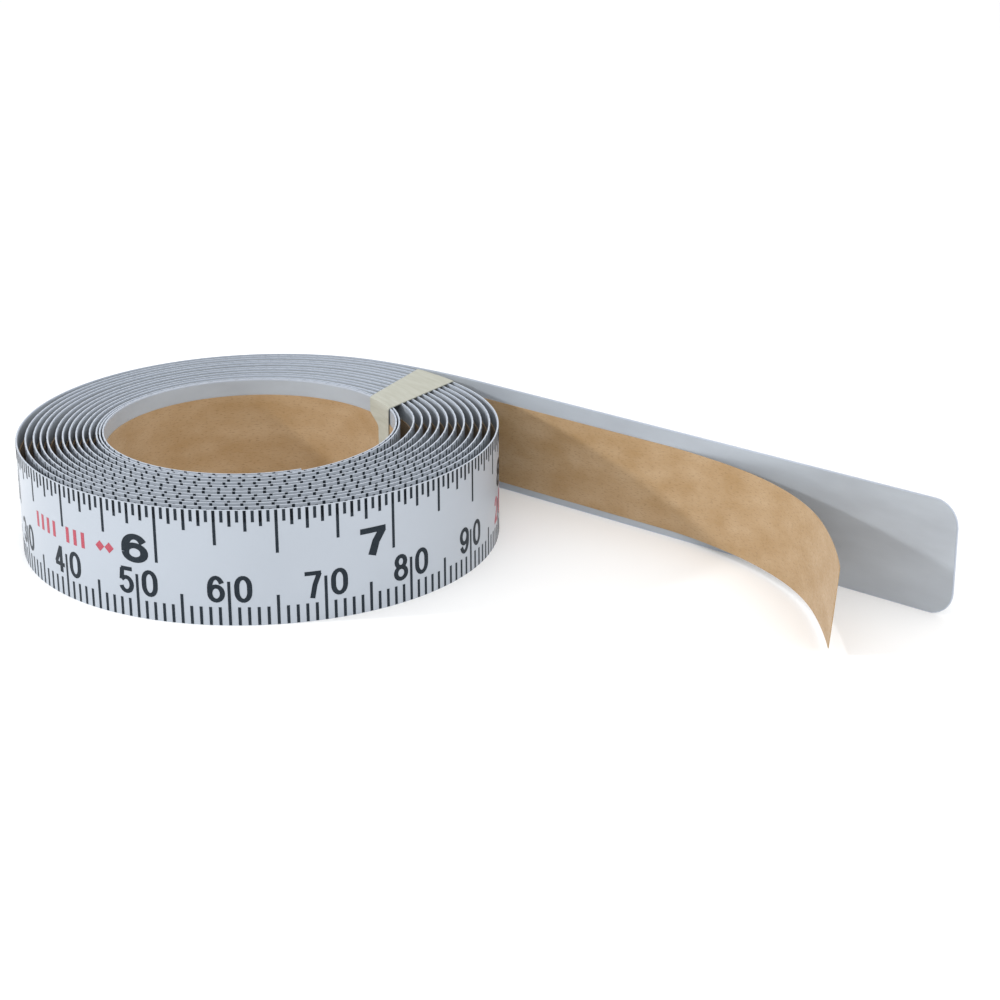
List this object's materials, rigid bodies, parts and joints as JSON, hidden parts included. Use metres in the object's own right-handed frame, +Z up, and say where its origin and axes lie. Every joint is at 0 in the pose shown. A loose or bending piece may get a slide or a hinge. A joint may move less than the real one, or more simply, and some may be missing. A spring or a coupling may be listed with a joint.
{
  "type": "adhesive-backed steel tape coil",
  "caption": "Flat coil of steel measuring tape standing on its edge, with a free tail, a peeled paper liner and a masking-tape tab.",
  "frame": {"origin": "bottom centre of the bounding box, on the surface the strip's edges rest on", "axes": "+Z up, across the strip's width; +X along the longest extent, from the coil to the tail's free end; +Y to the back, where the tail leaves the coil"},
  "size_m": [0.1004, 0.0652, 0.0129],
  "materials": {
    "printed_face": "white enamel with dark scale marks under a clear film, satin",
    "spring_steel": "cold-rolled spring steel, slit edges",
    "adhesive": "clear pressure-sensitive adhesive, grey over the steel",
    "kraft_liner": "brown kraft release paper, smooth side in",
    "masking_tape": "cream crepe paper tape, matte"
  },
  "bodies": {
    "coil": {"coil_face_film": "printed_face", "coil_steel_blade": "spring_steel", "coil_adhesive": "adhesive", "coil_liner": "kraft_liner", "tab_outer_end": "masking_tape"},
    "lead": {"lead_face_film": "printed_face", "lead_steel_blade": "spring_steel", "lead_adhesive": "adhesive", "lead_liner": "kraft_liner"},
    "tail": {"tail_face_film": "printed_face", "tail_steel_blade": "spring_steel", "tail_adhesive": "adhesive", "tail_liner": "kraft_liner"},
    "tip": {"tip_face_film": "printed_face", "tip_steel_blade": "spring_steel", "tip_adhesive": "adhesive"},
    "peel_root": {"liner_peel_root": "kraft_liner"},
    "peel_bend": {"liner_peel_bend": "kraft_liner"},
    "peel_curl": {"liner_peel_curl": "kraft_liner"},
    "peel_end": {"liner_peel_end": "kraft_liner"},
    "inner_end": {"inner_face_film": "printed_face", "inner_steel_blade": "spring_steel", "inner_adhesive": "adhesive", "inner_liner": "kraft_liner"},
    "tab_top": {"tab_top": "masking_tape"},
    "tab_flap": {"tab_inner_end": "masking_tape"}
  },
  "joints": [
    {"name": "lead_flex", "type": "hinge", "parent": "coil", "child": "lead", "pos_m": [-0.01087, 0.02929, 0.00635], "axis": [0, 0, 1], "range_deg": [-2, 8], "stiffness_Nm_per_rad": 0.012},
    {"name": "tail_flex", "type": "hinge", "parent": "lead", "child": "tail", "pos_m": [0.00089, 0.02136, 0.00635], "axis": [0, 0, 1], "range_deg": [-6, 24], "stiffness_Nm_per_rad": 0.012},
    {"name": "tip_flex", "type": "hinge", "parent": "tail", "child": "tip", "pos_m": [0.02387, 0.00207, 0.00635], "axis": [0, 0, 1], "range_deg": [-6, 24], "stiffness_Nm_per_rad": 0.012},
    {"name": "liner_peel", "type": "hinge", "parent": "tail", "child": "peel_root", "pos_m": [0.02271, 0.00288, 0.00582], "axis": [0, 0, 1], "range_deg": [-9, 3], "stiffness_Nm_per_rad": 0.00017},
    {"name": "liner_bend", "type": "hinge", "parent": "peel_root", "child": "peel_bend", "pos_m": [0.02916, -0.00415, 0.00582], "axis": [0, 0, 1], "range_deg": [-22.5, 7.5], "stiffness_Nm_per_rad": 0.00017},
    {"name": "liner_curl", "type": "hinge", "parent": "peel_bend", "child": "peel_curl", "pos_m": [0.03363, -0.0115, 0.00582], "axis": [0, 0, 1], "range_deg": [-22.5, 7.5], "stiffness_Nm_per_rad": 0.00017},
    {"name": "liner_tip", "type": "hinge", "parent": "peel_curl", "child": "peel_end", "pos_m": [0.03607, -0.02066, 0.00582], "axis": [0, 0, 1], "range_deg": [-22.5, 7.5], "stiffness_Nm_per_rad": 0.00017},
    {"name": "inner_end_flex", "type": "hinge", "parent": "coil", "child": "inner_end", "pos_m": [-0.02996, -0.00956, 0.00635], "axis": [0, 0, 1], "range_deg": [0, 30], "stiffness_Nm_per_rad": 0.02},
    {"name": "tab_lift", "type": "hinge", "parent": "coil", "child": "tab_top", "pos_m": [-0.004, 0.02344, 0.01273], "axis": [-0.6743, 0.7385, 0], "range_deg": [0, 100]},
    {"name": "tab_flap_swing", "type": "hinge", "parent": "tab_top", "child": "tab_flap", "pos_m": [-0.01037, 0.01287, 0.0127], "axis": [-0.454, 0.891, 0], "range_deg": [0, 90]}
  ],
  "couplings": [
    {"joint": "tail_flex", "follows": "lead_flex", "ratio": 3},
    {"joint": "tip_flex", "follows": "lead_flex", "ratio": 3},
    {"joint": "liner_bend", "follows": "liner_peel", "ratio": 2.5},
    {"joint": "liner_curl", "follows": "liner_peel", "ratio": 2.5},
    {"joint": "liner_tip", "follows": "liner_peel", "ratio": 2.5}
  ]
}
